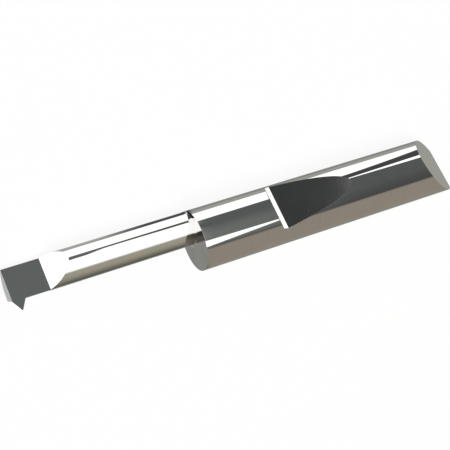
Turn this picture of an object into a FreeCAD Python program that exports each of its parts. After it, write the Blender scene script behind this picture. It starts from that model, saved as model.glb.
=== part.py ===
import FreeCAD, Part
import math
import os
import sys
import Sketcher

# Internal threading tool: one bar of solid carbide, ground all over from a round blank.
# The axes follow the bar: X runs along the shank's axis towards the cutting end, Y towards
# the tooth and Z out of the rake face. The origin is on the shank's axis, at the shoulder.
# Placed at rest, the bar is rolled about X until its centre of mass lies under that axis.

doc = FreeCAD.newDocument("internal_threading_tool")

# Driving dimensions, in millimetres and degrees
SIZES = (
    ("shank_diameter", 6.35, "round clamping shank, and the blank that it is ground from"),
    ("shank_length", 32.1, "shoulder to rear end"),
    ("projection", 19.25, "shoulder to front face"),
    ("rear_land", 1.13, "height of the square land left on the rear end"),
    ("rear_bevel_angle", 45.0, "locating bevel of the rear end, from the axis"),
    ("notch_setback", 8.17, "shoulder to the front edge of the clamping notch"),
    ("notch_wall_angle", 30.0, "front wall of the notch, from square"),
    ("notch_wall_depth", 1.11, "depth of the notch at the foot of its wall"),
    ("notch_land_width", 0.49, "narrow land between the wall and the ramp"),
    ("notch_depth", 1.19, "depth of the notch where the ramp starts"),
    ("notch_ramp_angle", 8.0, "clamping ramp, from the axis"),
    ("neck_diameter", 3.51, "slender neck"),
    ("neck_offset", 1.475, "neck's axis behind the shank's axis"),
    ("back_clearance", 0.075, "depth of the flat along the back of the neck"),
    ("shoulder_radius", 0.35, "fillet between neck and shoulder"),
    ("head_length", 3.85, "rake face, along the axis"),
    ("head_diameter", 4.56, "rounded underside of the head"),
    ("head_offset", 0.87, "head's own axis behind the shank's axis"),
    ("head_back_angle", 45.0, "cone that joins the head to the neck, from the axis"),
    ("tooth_angle", 60.0, "included angle of the thread tooth"),
    ("tooth_root_height", 0.35, "foot of the tooth above the shank's axis"),
    ("tooth_tip_height", 1.4, "tip of the tooth above the shank's axis"),
    ("tooth_tip_flat", 0.09, "width of the small flat on the tip"),
    ("relief_angle", 24.0, "clearance under the tooth and the edge behind it"),
    ("runout_angle_tooth", 58.0, "slope behind the rake face, a blank's radius out on the tooth's side"),
    ("runout_angle_back", 32.0, "slope behind the rake face, a blank's radius out on the back"),
    ("overcut", 0.5, "how far a cut runs out past the blank"),
)

sheet = doc.addObject("Spreadsheet::Sheet", "Sizes")
for row, (alias, value, meaning) in enumerate(SIZES, start=1):
    sheet.set(f"A{row}", alias)
    sheet.set(f"B{row}", str(value))
    sheet.set(f"C{row}", meaning)
    sheet.setAlias(f"B{row}", alias)
doc.recompute()


def origin_plane(body, role):
    """The body's own origin plane of that role."""
    return next(plane for plane in body.Origin.OriginFeatures if plane.Role == role)


def new_sketch(body, name, role, offset="0"):
    """An empty sketch on one of the body's planes, moved along the plane's normal."""
    sketch = body.newObject("Sketcher::SketchObject", name)
    sketch.AttachmentSupport = [(origin_plane(body, role), "")]
    sketch.MapMode = "FlatFace"
    sketch.setExpression("AttachmentOffset.Base.z", offset)
    return sketch


def bind(sketch, kind, place, name, formula):
    """A dimension of the sketch that follows a formula."""
    value = float(sketch.evalExpression(formula))
    index = sketch.addConstraint(Sketcher.Constraint(kind, *place, value))
    sketch.renameConstraint(index, name)
    sketch.setExpression(f"Constraints.{name}", formula)


def add_outline(sketch, corners):
    """A closed outline. Each corner is a name, two formulas and, where a quarter round
    leaves it towards the next corner, the formula of its radius."""
    points = [FreeCAD.Vector(*(float(sketch.evalExpression(formula)) for formula in corner[1:3]), 0)
              for corner in corners]
    sides = []
    for index, corner in enumerate(corners):
        start, end = points[index], points[(index + 1) % len(points)]
        if len(corner) > 3:
            centre = FreeCAD.Vector(end.x, start.y, 0)
            round_circle = Part.Circle(centre, FreeCAD.Vector(0, 0, 1), (end - centre).Length)
            side = Part.ArcOfCircle(round_circle, math.pi, 1.5 * math.pi)
        else:
            side = Part.LineSegment(start, end)
        sides.append(sketch.addGeometry(side, False))
    for index, side in enumerate(sides):
        following = sides[(index + 1) % len(sides)]
        sketch.addConstraint(Sketcher.Constraint("Coincident", side, 2, following, 1))
    for side, corner in zip(sides, corners):
        name, across, up, *radius = corner
        bind(sketch, "DistanceX", (-1, 1, side, 1), name + "_across", across)
        bind(sketch, "DistanceY", (-1, 1, side, 1), name + "_up", up)
        if radius:
            bind(sketch, "Radius", (side,), name + "_radius", radius[0])


def add_circle(sketch, name, centre, radius):
    """A circle whose centre lies on the sketch's level axis line."""
    middle = FreeCAD.Vector(float(sketch.evalExpression(centre)), 0, 0)
    reach = float(sketch.evalExpression(radius))
    circle = sketch.addGeometry(Part.Circle(middle, FreeCAD.Vector(0, 0, 1), reach), False)
    bind(sketch, "DistanceX", (-1, 1, circle, 3), name + "_centre", centre)
    sketch.addConstraint(Sketcher.Constraint("PointOnObject", circle, 3, -1))
    bind(sketch, "Radius", (circle,), name + "_radius", radius)


def cut_through(body, name, sketch):
    """A cut from the sketch's plane out past both sides of the blank."""
    pocket = body.newObject("PartDesign::Pocket", name)
    pocket.Profile = sketch
    pocket.Type = "ThroughAll"
    pocket.SideType = "Symmetric"


bar = doc.addObject("PartDesign::Body", "threading_bar")
bar.Label = "threading_bar"

# Blank: a plain round rod from the rear end to the front face
blank_profile = new_sketch(bar, "blank_profile", "XZ_Plane")
add_outline(blank_profile, (
    ("rear_centre", "-Sizes.shank_length", "0"),
    ("front_centre", "Sizes.projection", "0"),
    ("front_edge", "Sizes.projection", "Sizes.shank_diameter / 2"),
    ("rear_edge", "-Sizes.shank_length", "Sizes.shank_diameter / 2"),
))
blank = bar.newObject("PartDesign::Revolution", "blank")
blank.Profile = blank_profile
blank.ReferenceAxis = (blank_profile, ["H_Axis"])
blank.Angle = 360
doc.recompute()

# Rear end: a bevel on the rake side, which rests on the holder's cross pin
OUTSIDE = "Sizes.shank_diameter / 2 + Sizes.overcut"
BEVEL_FOOT = "-Sizes.shank_diameter / 2 + Sizes.rear_land"
BEVEL_RISE = f"({OUTSIDE} - ({BEVEL_FOOT}))"
BEVEL_START = f"-Sizes.shank_length + {BEVEL_RISE} / tan(Sizes.rear_bevel_angle * 1 deg)"
END_CUT = "-Sizes.shank_length - Sizes.overcut"
bevel_profile = new_sketch(bar, "bevel_profile", "XZ_Plane")
add_outline(bevel_profile, (
    ("foot", "-Sizes.shank_length", BEVEL_FOOT),
    ("top", BEVEL_START, OUTSIDE),
    ("outer", END_CUT, OUTSIDE),
    ("lower", END_CUT, BEVEL_FOOT),
))
cut_through(bar, "rear_bevel", bevel_profile)
doc.recompute()

# Clamping notch: a wall, a narrow land and a long ramp, along which the screw drives the bar back
SURFACE = "Sizes.shank_diameter / 2"
WALL_SLOPE = "tan(Sizes.notch_wall_angle * 1 deg)"
WALL_FOOT = f"-Sizes.notch_setback - Sizes.notch_wall_depth * {WALL_SLOPE}"
RAMP_START = f"{WALL_FOOT} - Sizes.notch_land_width"
RAMP_RUN = "(Sizes.notch_depth + Sizes.overcut) / tan(Sizes.notch_ramp_angle * 1 deg)"
notch_profile = new_sketch(bar, "notch_profile", "XZ_Plane")
add_outline(notch_profile, (
    ("rim", f"-Sizes.notch_setback + Sizes.overcut * {WALL_SLOPE}", OUTSIDE),
    ("wall_foot", WALL_FOOT, f"{SURFACE} - Sizes.notch_wall_depth"),
    ("ramp_start", RAMP_START, f"{SURFACE} - Sizes.notch_depth"),
    ("ramp_end", f"{RAMP_START} - {RAMP_RUN}", OUTSIDE),
))
cut_through(bar, "clamping_notch", notch_profile)
doc.recompute()

# Neck: turned on an axis set back from the shank's. The wheel's round corner leaves the fillet
# at the shoulder, and its slanted side the cone behind the head.
NECK_SIDE = "Sizes.neck_diameter / 2 - Sizes.neck_offset"
NECK_END = "Sizes.projection - Sizes.head_length"
CONE_RUN = f"({OUTSIDE} - ({NECK_SIDE})) / tan(Sizes.head_back_angle * 1 deg)"
neck_profile = new_sketch(bar, "neck_profile", "XY_Plane")
add_outline(neck_profile, (
    ("shoulder_rim", "0", OUTSIDE),
    ("shoulder_foot", "0", f"{NECK_SIDE} + Sizes.shoulder_radius", "Sizes.shoulder_radius"),
    ("fillet_end", "Sizes.shoulder_radius", NECK_SIDE),
    ("neck_end", NECK_END, NECK_SIDE),
    ("cone_rim", f"{NECK_END} + {CONE_RUN}", OUTSIDE),
))
axis_line = Part.LineSegment(FreeCAD.Vector(0, -1, 0), FreeCAD.Vector(1, -1, 0))
neck_axis = neck_profile.addGeometry(axis_line, True)
neck_profile.addConstraint(Sketcher.Constraint("Horizontal", neck_axis))
bind(neck_profile, "DistanceX", (-1, 1, neck_axis, 1), "axis_start", "0")
bind(neck_profile, "DistanceY", (-1, 1, neck_axis, 1), "axis_up", "-Sizes.neck_offset")
bind(neck_profile, "DistanceX", (-1, 1, neck_axis, 2), "axis_end", NECK_END)
neck = bar.newObject("PartDesign::Groove", "neck")
neck.Profile = neck_profile
neck.ReferenceAxis = (neck_profile, ["Axis0"])
neck.Angle = 360
doc.recompute()

# Back of the neck: a shallow flat takes away the strip that is still at the blank's surface
BACK_SIDE = f"-({SURFACE} - Sizes.back_clearance)"
back_profile = new_sketch(bar, "back_profile", "XY_Plane")
add_outline(back_profile, (
    ("shoulder_rim", "0", f"-({OUTSIDE})"),
    ("shoulder_foot", "0", BACK_SIDE),
    ("head_foot", NECK_END, BACK_SIDE),
    ("head_rim", NECK_END, f"-({OUTSIDE})"),
))
cut_through(bar, "back_flat", back_profile)
doc.recompute()

# Head: the underside is a round of its own, which passes through the bore ahead of the tooth
head_section = new_sketch(bar, "head_section", "YZ_Plane", "Sizes.projection")
add_circle(head_section, "round", "-Sizes.head_offset", "Sizes.head_diameter / 2")
add_circle(head_section, "outer", "0", "Sizes.shank_diameter")
head = bar.newObject("PartDesign::Pocket", "head")
head.Profile = head_section
head.setExpression("Length", "Sizes.head_length")
doc.recompute()

# Rake face: a flat on the shank's axis, with a slope behind it that steepens towards the tooth
CUT_END = "Sizes.projection + Sizes.overcut"
runout_profiles = []
for side, normal_offset in (("tooth", f"-({OUTSIDE})"), ("back", OUTSIDE)):
    profile = new_sketch(bar, f"rake_profile_{side}", "XZ_Plane", normal_offset)
    run = f"({OUTSIDE}) / tan(Sizes.runout_angle_{side} * 1 deg)"
    add_outline(profile, (
        ("front", CUT_END, "0"),
        ("rear", NECK_END, "0"),
        ("slope_top", f"{NECK_END} - {run}", OUTSIDE),
        ("top", CUT_END, OUTSIDE),
    ))
    runout_profiles.append(profile)
doc.recompute()
rake_face = bar.newObject("PartDesign::SubtractiveLoft", "rake_face")
rake_face.Profile = runout_profiles[0]
rake_face.Sections = runout_profiles[1:]
rake_face.Ruled = True
doc.recompute()

# Tooth: what stands beyond this outline is ground away down a slanted path, so the tooth
# and the edge behind it keep one clearance angle from the rake face to the round underside.
HALF_TOOTH = "tan(Sizes.tooth_angle / 2 * 1 deg)"
TOOTH_HEIGHT = "(Sizes.tooth_tip_height - Sizes.tooth_root_height)"
FLANK_RUN = f"{TOOTH_HEIGHT} * {HALF_TOOTH}"
tooth_form = new_sketch(bar, "tooth_form", "XY_Plane")
add_outline(tooth_form, (
    ("front_root", "Sizes.projection", "Sizes.tooth_root_height"),
    ("front_tip", f"Sizes.projection - {FLANK_RUN}", "Sizes.tooth_tip_height"),
    ("rear_tip", f"Sizes.projection - {FLANK_RUN} - Sizes.tooth_tip_flat", "Sizes.tooth_tip_height"),
    ("rear_root", f"Sizes.projection - 2 * {FLANK_RUN} - Sizes.tooth_tip_flat", "Sizes.tooth_root_height"),
    ("back_edge", NECK_END, "Sizes.tooth_root_height"),
    ("back_outer", NECK_END, OUTSIDE),
    ("front_outer", CUT_END, OUTSIDE),
    ("front_lower", CUT_END, "Sizes.tooth_root_height"),
))
tooth = bar.newObject("PartDesign::Pocket", "tooth")
tooth.Profile = tooth_form
tooth.UseCustomVector = True
tooth.Direction = FreeCAD.Vector(0, 0, -1)
tooth.setExpression("Direction.y", "-tan(Sizes.relief_angle * 1 deg)")
tooth.AlongSketchNormal = True
tooth.setExpression("Length", "Sizes.shank_diameter")
doc.recompute()

# At rest the bar lies on its shank, rolled until its centre of mass is straight below the axis
STRAIGHT_DOWN = -90
centre = bar.Shape.Solids[0].CenterOfMass
roll = STRAIGHT_DOWN - math.degrees(math.atan2(centre.z, centre.y))
rest = FreeCAD.Rotation(FreeCAD.Vector(1, 0, 0), roll)
bar.Placement = FreeCAD.Placement(FreeCAD.Vector(0, 0, 0), rest)
doc.recompute()

failed = [item.Name for item in doc.Objects if {"Invalid", "Error"} & set(item.State)]
if bar.Shape.isNull() or not bar.Shape.isValid() or len(bar.Shape.Solids) != 1:
    failed.append(bar.Label)
if failed:
    sys.exit("not built: " + ", ".join(failed))

os.makedirs("parts", exist_ok=True)
bar.Shape.exportStep(f"parts/{bar.Label}.step")
print(f"{bar.Label}: volume {bar.Shape.Volume:.3f} mm3, roll {roll:.2f} deg, box {bar.Shape.BoundBox}")
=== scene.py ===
import math

import bpy
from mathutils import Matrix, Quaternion, Vector

# An internal threading tool lies on its round shank on a white table, inside a light tent.
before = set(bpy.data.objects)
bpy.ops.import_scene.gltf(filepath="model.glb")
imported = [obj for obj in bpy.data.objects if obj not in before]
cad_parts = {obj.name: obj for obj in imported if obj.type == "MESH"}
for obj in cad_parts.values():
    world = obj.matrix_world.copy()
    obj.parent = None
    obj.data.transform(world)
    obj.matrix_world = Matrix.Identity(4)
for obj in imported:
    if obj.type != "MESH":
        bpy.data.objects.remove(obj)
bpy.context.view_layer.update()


# The bar is one piece of solid tungsten carbide, ground all over from a round blank and
# polished on its rounds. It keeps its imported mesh: the material gives each ground surface
# its exact direction, breaks the sharp edges by a hair and leaves the wheel's fine marks.
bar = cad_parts["threading_bar"]


class Shade:
    """A value in a material. Sums on it add Math nodes, and node() adds any other kind."""

    def __init__(self, tree, socket=None):
        self.tree = tree
        self.socket = socket

    def node(self, kind, settings=None, inputs=None, output=0):
        """A new node: its settings first, then its sockets' values or links."""
        made = self.tree.nodes.new(kind)
        for name, value in (settings or {}).items():
            setattr(made, name, value)
        for name, value in (inputs or {}).items():
            if isinstance(value, Shade):
                self.tree.links.new(value.socket, made.inputs[name])
            else:
                made.inputs[name].default_value = value
        if isinstance(output, tuple):
            return [Shade(self.tree, made.outputs[name]) for name in output]
        return Shade(self.tree, made.outputs[output]) if len(made.outputs) else None

    def maths(self, operation, *values):
        return self.node("ShaderNodeMath", {"operation": operation}, dict(enumerate(values)))

    def __add__(self, other):
        return self.maths("ADD", self, other)

    def __radd__(self, other):
        return self.maths("ADD", other, self)

    def __sub__(self, other):
        return self.maths("SUBTRACT", self, other)

    def __rsub__(self, other):
        return self.maths("SUBTRACT", other, self)

    def __mul__(self, other):
        return self.maths("MULTIPLY", self, other)

    def __rmul__(self, other):
        return self.maths("MULTIPLY", other, self)

    def __truediv__(self, other):
        return self.maths("DIVIDE", self, other)

    def __pow__(self, other):
        return self.maths("POWER", self, other)

    def __neg__(self):
        return self.maths("MULTIPLY", self, -1)

    def __abs__(self):
        return self.maths("ABSOLUTE", self)

    def __gt__(self, other):
        return self.maths("GREATER_THAN", self, other)

    def __lt__(self, other):
        return self.maths("LESS_THAN", self, other)

    def rise(self, low, high):
        """0 below low, 1 above high, and a soft step between them."""
        return self.node("ShaderNodeMapRange", {"interpolation_type": "SMOOTHSTEP"},
                         {"Value": self, "From Min": low, "From Max": high})

    def between(self, low, high, soft):
        """1 from low to high, with an edge that is soft by that much on either side."""
        return self.rise(low - soft, low + soft) * (1 - self.rise(high - soft, high + soft))

    def vector(self, operation, *others, output=0):
        return self.node("ShaderNodeVectorMath", {"operation": operation},
                         dict(enumerate((self, *others))), output)

    def swing(self, share, other):
        """This direction, turned towards the other one by that share."""
        return self.node("ShaderNodeMix", {"data_type": "VECTOR"}, {0: share, 4: self, 5: other}, 1)

    def mix(self, share, first, second):
        """The first colour, with the second one laid over it by that share."""
        return self.node("ShaderNodeMix", {"data_type": "RGBA"}, {0: share, 6: first, 7: second}, 2)

    def blend(self, share, other):
        """This colour, with the other one laid over it by that share."""
        return self.mix(share, self, other)


def emptied(owner):
    """The shader nodes of a material or of the world, with nothing in them yet."""
    owner.use_nodes = True
    owner.node_tree.nodes.clear()
    return Shade(owner.node_tree)


roll = math.radians(58.32)
own_axes = (-roll, 0, 0)
millimetres = 1000

carbide = bpy.data.materials.new("ground carbide")
bare = emptied(carbide)

# Places and directions along the bar's own axes, in millimetres: X along the shank towards
# the cutting end, Y towards the tooth, Z out of the rake face
place = bare.node("ShaderNodeMapping", inputs={
    "Vector": bare.node("ShaderNodeTexCoord", output="Object"),
    "Rotation": own_axes, "Scale": (millimetres,) * 3})
x, y, z = bare.node("ShaderNodeSeparateXYZ", inputs={0: place}, output=(0, 1, 2))
facet = bare.node("ShaderNodeNewGeometry", output="True Normal")
facet_turned = bare.node("ShaderNodeMapping", {"vector_type": "VECTOR"}, {
    "Vector": bare.node("ShaderNodeVectorTransform", {
        "vector_type": "NORMAL", "convert_from": "WORLD", "convert_to": "OBJECT"}, {0: facet}),
    "Rotation": own_axes})


def direction(along, across, out):
    """A direction of length 1 from its three parts."""
    joined = bare.node("ShaderNodeCombineXYZ", inputs={0: along, 1: across, 2: out})
    return joined.vector("NORMALIZE")


def from_axis(centre):
    """Distance from an axis that lies at that height on Y, and the two parts of the way out."""
    across = y - centre
    reach = (across * across + z * z) ** 0.5
    return reach, across / reach, z / reach


def agrees(exact, closeness):
    """1 where a surface's exact direction is the one that its facet nearly has."""
    return exact.vector("DOT_PRODUCT", facet_turned, output="Value") > closeness


def take(so_far, exact, where, closeness=0.98):
    """The direction so far, replaced by an exact one where that surface is."""
    return so_far.swing(where * agrees(exact, closeness), exact)


def facing(along, out):
    """1 on the flat whose direction has these parts along the bar and out of the rake face."""
    return facet_turned.vector("DOT_PRODUCT", (along, 0, out), output="Value") > 0.999


# The coarser wheel that cut the notch left a darker and duller finish on its ramp and wall
ramp_angle = math.radians(8)
wall_angle = math.radians(30)
on_ramp = facing(math.sin(ramp_angle), math.cos(ramp_angle))
on_wall = facing(-math.cos(wall_angle), math.sin(wall_angle))
coarse = on_ramp + on_wall

# The rounds, whose facets are turned to the exact direction of the surface that they stand for
near = 0.03
hair = 0.001
past_rear, past_tip = -40, 20
shank_radius = 3.175
neck_radius, neck_axis, neck_end = 1.755, -1.475, 16
head_radius, head_axis, head_start = 2.28, -0.87, 15.4

exact = facet_turned
for radius, centre, start, end in ((shank_radius, 0, past_rear, hair),
                                   (neck_radius, neck_axis, hair, neck_end),
                                   (head_radius, head_axis, head_start, past_tip)):
    reach, across, out = from_axis(centre)
    on_round = (abs(reach - radius) < near) * (x > start) * (x < end) * (1 - coarse)
    exact = take(exact, direction(0, across, out), on_round)

# The fillet is a tight corner: it looks out of the neck almost up to the shoulder's face,
# where it turns up at once
fillet_radius = 0.35
shoulder_face = 0.0001
corner_width = 0.03
neck_reach, neck_across, neck_out = from_axis(neck_axis)
in_fillet = (x > shoulder_face) * (x < fillet_radius) * (neck_reach < neck_radius + fillet_radius)
turned_up = x < corner_width
exact = take(exact, direction(turned_up, neck_across * (1 - turned_up),
                              neck_out * (1 - turned_up)), in_fillet, closeness=0.4)

# The cone behind the head opens at 45 degrees
on_cone = (abs(neck_reach - neck_radius - (x - head_start)) < near) * (x > head_start)
exact = take(exact, direction(-1, neck_across, neck_out), on_cone)

# The slope behind the rake face: x = head_start - z * run, where run changes evenly along Y
slope_tooth, slope_back, slope_side = 58.0, 32.0, 3.675
well_past_shoulder = 5
run_tooth = 1 / math.tan(math.radians(slope_tooth))
run_back = 1 / math.tan(math.radians(slope_back))
run_change = (run_tooth - run_back) / (2 * slope_side)
run = y * run_change + (run_tooth + run_back) / 2
on_slope = (abs(x - head_start + z * run) < near) * (z > hair) * (x > well_past_shoulder)
exact = take(exact, direction(1, z * run_change, run), on_slope, closeness=0.95)

exact_in_world = bare.node("ShaderNodeVectorTransform", {
    "vector_type": "NORMAL", "convert_from": "OBJECT", "convert_to": "WORLD"}, {
    0: bare.node("ShaderNodeMapping", {"vector_type": "VECTOR"},
                 {"Vector": exact, "Rotation": (roll, 0, 0)})})

# Each sharp edge is broken by about two hundredths of a millimetre
edge_break = 0.02
broken = bare.node("ShaderNodeBevel", {"samples": 8}, {"Radius": edge_break / millimetres})
edge = (1 - broken.vector("DOT_PRODUCT", facet, output="Value")).rise(0.05, 0.15)
surface = exact_in_world.swing(edge, broken)

# Marks of the wheel: fine lines that run round the rounds and across the ramp
line_stretch = (14, 0.5, 0.5)
mark_depth = 0.0004
marks = bare.node("ShaderNodeTexNoise", {"noise_dimensions": "3D"}, {
    "Vector": place.vector("MULTIPLY", line_stretch), "Scale": 1, "Detail": 3, "Roughness": 0.6})
clouds = bare.node("ShaderNodeTexNoise", {"noise_dimensions": "3D"}, {
    "Vector": place, "Scale": 0.35, "Detail": 2})
dull_share = (marks * 0.6 + clouds * 0.4).rise(0.35, 0.75)
polished = bare.mix(dull_share, (0.80, 0.795, 0.78, 1), (0.73, 0.725, 0.71, 1))
dark_ground = bare.mix(dull_share, (0.268, 0.263, 0.261, 1), (0.220, 0.217, 0.215, 1))
colour = polished.blend(coarse, dark_ground)
roughness = 0.02 + marks * 0.04 + coarse * 0.05 + edge * 0.1

relief = bare.node("ShaderNodeBump", inputs={
    "Strength": 0.25, "Distance": mark_depth / millimetres, "Height": marks, "Normal": surface})
metal = bare.node("ShaderNodeBsdfPrincipled", inputs={
    "Base Color": colour, "Metallic": 1, "Roughness": roughness, "Normal": relief})
bare.node("ShaderNodeOutputMaterial", inputs={0: metal})

for slot in bar.material_slots:
    slot.material = carbide


# The table is a plain white sheet. The camera sees it white with the bar's soft shadow on it,
# and in the bar's own mirror images the light tent's lower half stands for it.
table_height = -shank_radius / millimetres
table_half = 1.5
corners = [(right * table_half, far * table_half, table_height)
           for right, far in ((-1, -1), (1, -1), (1, 1), (-1, 1))]
table_mesh = bpy.data.meshes.new("table")
table_mesh.from_pydata(corners, [], [(0, 1, 2, 3)])
table = bpy.data.objects.new("table", table_mesh)
bpy.context.scene.collection.objects.link(table)
table.visible_glossy = False

white = (1, 1, 1, 1)
paper = (0.95, 0.95, 0.95, 1)
glow_share = 0.9
white_sheet = bpy.data.materials.new("white sheet")
sheet = emptied(white_sheet)
seen = sheet.node("ShaderNodeLightPath", output="Is Camera Ray")
lit = sheet.node("ShaderNodeBsdfDiffuse", inputs={"Color": paper})
glow = sheet.node("ShaderNodeEmission", inputs={"Color": white, "Strength": 1})
mixed = sheet.node("ShaderNodeMixShader", inputs={0: seen * glow_share, 1: lit, 2: glow})
sheet.node("ShaderNodeOutputMaterial", inputs={0: mixed})
table_mesh.materials.append(white_sheet)


# The light tent round the bar: a white roof and a white sheet below, a brown wall on the tooth's
# side, and dark gaps over the bar with white cards in them. A way is told by its angle, in degrees
# from the rake face's by the back to the underside, and by its lean to the rear, from -1 to 1.
world = bpy.data.worlds.new("light tent")
bpy.context.scene.world = world
tent = emptied(world)
way = tent.node("ShaderNodeMapping", {"vector_type": "VECTOR"}, {
    "Vector": tent.node("ShaderNodeTexCoord", output="Generated"), "Rotation": own_axes})
forward, tooth_side, rake_side = tent.node(
    "ShaderNodeSeparateXYZ", inputs={0: way}, output=(0, 1, 2))
turned = tent.maths("ARCTAN2", -tooth_side, rake_side) * math.degrees(1)
angle = turned + (turned < 0) * 360
lean = -forward
over_shank = lean.rise(0.346, 0.350)
over_neck = 1 - over_shank
white_card = (1.5, 1.5, 1.5, 1)
black = (0.012, 0.012, 0.014, 1)

# The wall is lit from its top, and darkens to its foot and to its far front end
wall = tent.mix(angle.rise(206, 277), (0.120, 0.121, 0.104, 1), (0.40, 0.375, 0.295, 1))
far_wall = tent.mix(angle.rise(255, 275), (0.11, 0.105, 0.09, 1), (0.045, 0.04, 0.035, 1))
far_wall = far_wall.blend(lean.rise(-0.343, -0.333), (0.26, 0.24, 0.20, 1))
wall = tent.mix(lean.rise(0.05, 0.24), far_wall, wall)
wall = wall.blend(over_shank, (0.315, 0.28, 0.235, 1))

# Below, the sheet carries painted shade of the bar: grey under the shank and black under the neck's
# two ends, with one white spot and a paler end behind the rear
painted_shade_below = tent.mix(lean.between(-0.25, -0.08, 0.04), (0.28, 0.285, 0.265, 1), (0.53, 0.545, 0.54, 1))
light = tent.mix(angle.rise(188, 203), painted_shade_below, wall)
painted_neck_shade = tent.mix(lean.rise(-0.15, 0.15), black, (0.45, 0.45, 0.43, 1))
painted_neck_shade = painted_neck_shade.blend(lean.rise(0.25, 0.305), (0.085, 0.085, 0.09, 1))
light = light.blend(angle.between(97, 150, 3) * over_neck, painted_neck_shade)
light = light.blend(angle.between(94, 116, 6) * over_shank, (0.40, 0.405, 0.38, 1))
white_spot = angle.between(163, 171, 1) * lean.between(-0.03, 0.04, 0.01)
light = light.blend(white_spot, white_card)
behind_rear = angle.between(120, 200, 10) * lean.rise(0.62, 0.7)
light = light.blend(behind_rear, (0.36, 0.36, 0.325, 1))

# The dark gap over the bar, which is darkest over the shank's rear and warmer over the neck's foot
gap = tent.mix(turned.rise(-18, 24), (0.169, 0.181, 0.175, 1), (0.113, 0.123, 0.119, 1))
gap = tent.mix(turned.rise(-64, -50), (0.107, 0.107, 0.09, 1), gap)
rear_gap = tent.mix(turned.rise(-62, -10), (0.080, 0.080, 0.081, 1), (0.106, 0.115, 0.112, 1))
rear_gap = rear_gap.blend(turned.rise(20, 34), (0.066, 0.068, 0.070, 1))
gap = gap.blend(lean.rise(0.4, 0.5), rear_gap)
gap = tent.mix(over_shank, (0.12, 0.11, 0.095, 1), gap)
gap = tent.mix(lean.rise(0.25, 0.3), (0.14, 0.152, 0.149, 1), gap)
light = light.blend(1 - angle.between(94, 295, 5), gap)

# Two white cards hang in the gap over the shank: the first narrows to the rear, and the second
# one opens from a point
first_start = 0.35
first_left = (lean - first_start) * 200 + 303.4
first_right = (lean - first_start) * -50 + 326.6
first_card = (angle - first_left).rise(-1, 1) * (first_right - angle).rise(-1, 1)
light = light.blend(first_card * over_shank * (1 - lean.rise(0.44, 0.45)), white_card)
second_start, second_point, second_middle = 0.465, 0.468, 32
second_half_width = (lean - second_point) * 68
second_card = (second_half_width - abs(angle - second_middle)).rise(-1, 1)
light = light.blend(second_card * lean.between(second_start, 0.61, 0.01), white_card)

# The gap ends in white behind the rear and in front of the head, and the roof closes it over
# the neck but for a thin line
over_bar = 1 - angle.between(60, 300, 5)
light = light.blend(over_bar * lean.rise(0.61, 0.63), white_card)
light = light.blend(over_bar * lean.rise(0.70, 0.73), (0.15, 0.15, 0.15, 1))
gap_start = 11.5 + lean.rise(0.244, 0.262) * 9.5 - lean.rise(0.27, 0.34) * 3.5
roof_edge = lean.rise(-0.2, 0.2) * -9 + 298
roof = 1 - (angle - gap_start).rise(-1, 1) + (angle - roof_edge).rise(0, 19)
light = light.blend(roof * over_neck, white_card)
light = light.blend(over_bar * (1 - lean.rise(-0.3, -0.25)), white_card)

# The sheet is white from its near edge on, which lies lower towards the shank's rear. A black
# strip in front is painted shade of the neck's underside, seen only where the shoulder mirrors the
# neck.
past = tent.maths("MAXIMUM", lean - second_start, 0)
near_edge = 33 + over_shank * (past * past * 2350 + 16.5)
near_sheet = (angle - near_edge).rise(-1.5, 1.5) * (1 - angle.rise(89, 97))
light = light.blend(near_sheet, white_card)
painted_neck_shade_strip = angle.between(36, 100, 3) * lean.between(-0.37, -0.332, 0.004)
light = light.blend(painted_neck_shade_strip, black)

# Away from the bar's long sides the tent is plainer: pale all round, with a dark opening on top
opening_middle = 8
plain = tent.mix(angle.rise(185, 215), (0.33, 0.33, 0.31, 1), (0.42, 0.40, 0.35, 1))
# Painted shade: the sheet straight under the bar is dark
plain = plain.blend(angle.between(99, 130, 6), (0.10, 0.10, 0.10, 1))
plain = plain.blend(1 - angle.between(100, 285, 6), (0.80, 0.80, 0.79, 1))
plain = plain.blend(1 - abs(turned - opening_middle).rise(16, 24), (0.15, 0.16, 0.157, 1))
in_front = (1 - lean.rise(-0.5, -0.44)) * (1 - angle.between(20, 150, 4))
beside = lean.between(-0.29, 0.13, 0.02) * (1 - angle.between(150, 180, 4))
light = light.blend(in_front + beside, plain)

camera_ray = tent.node("ShaderNodeLightPath", output="Is Camera Ray")
tent_light = tent.node("ShaderNodeBackground", inputs={"Color": light, "Strength": 1})
plain_white = tent.node("ShaderNodeBackground", inputs={"Color": white, "Strength": 1})
shown = tent.node("ShaderNodeMixShader", inputs={0: camera_ray, 1: tent_light, 2: plain_white})
tent.node("ShaderNodeOutputWorld", inputs={0: shown})

# A wide lamp over the tent brings the table to the same plain level
lamp = bpy.data.lights.new("roof lamp", "AREA")
lamp.shape = "DISK"
lamp.size = 0.3
lamp.energy = 0.62
roof_lamp = bpy.data.objects.new("roof lamp", lamp)
roof_lamp.location = (0, 0, 0.35)
roof_lamp.visible_glossy = False
bpy.context.scene.collection.objects.link(roof_lamp)


# The camera looks down on the bar from beyond its cutting end, turned far over to one side,
# so that the tooth's side is at the picture's foot, as in the photograph.
camera_data = bpy.data.cameras.new("camera")
camera = bpy.data.objects.new("camera", camera_data)
bpy.context.scene.collection.objects.link(camera)
bpy.context.scene.camera = camera
camera_data.sensor_width = 36
camera_data.lens = 81.62
camera_data.clip_start = 0.001
camera_data.clip_end = 10
camera.location = Vector((35.53, -61.083, 75.796)) / millimetres
aim = Vector((-3.791, -0.469, -0.374)) / millimetres
twist = math.radians(137.3)
camera.rotation_mode = "QUATERNION"
level = (aim - camera.location).to_track_quat("-Z", "Y")
camera.rotation_quaternion = level @ Quaternion((0, 0, 1), twist)

bpy.context.scene.view_settings.view_transform = "Standard"
